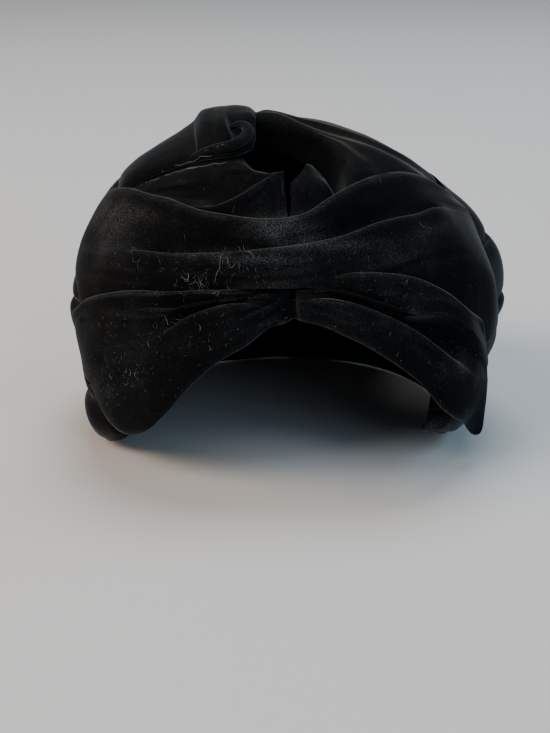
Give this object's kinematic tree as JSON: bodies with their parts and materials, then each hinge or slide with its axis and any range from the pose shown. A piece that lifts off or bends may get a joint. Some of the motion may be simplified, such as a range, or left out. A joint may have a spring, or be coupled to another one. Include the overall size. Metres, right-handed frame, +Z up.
{
  "type": "draped velvet turban hat",
  "caption": "Soft draped turban-style hat of pleated black velvet: a pinched, winged drape over an arched edge, a wrap of rolls round the other half, and a crown left open at the top.",
  "frame": {"origin": "on the surface the hat rests on, under the middle of its outline", "axes": "+Z up, -Y toward the side with the pinched drape, +X to that side's right when it is looked at"},
  "size_m": [0.2256, 0.2244, 0.1677],
  "materials": {
    "velvet": "black short-pile velvet, near black face on, with a soft grey sheen at the edges of folds"
  },
  "bodies": {
    "root": {"upper_drape": "velvet", "wing_drape": "velvet", "back_wrap": "velvet", "crown_panel_left": "velvet", "crown_panel_right": "velvet", "crown_far_layer": "velvet", "crown_swath_right": "velvet", "crown_swath_left": "velvet"}
  },
  "joints": []
}
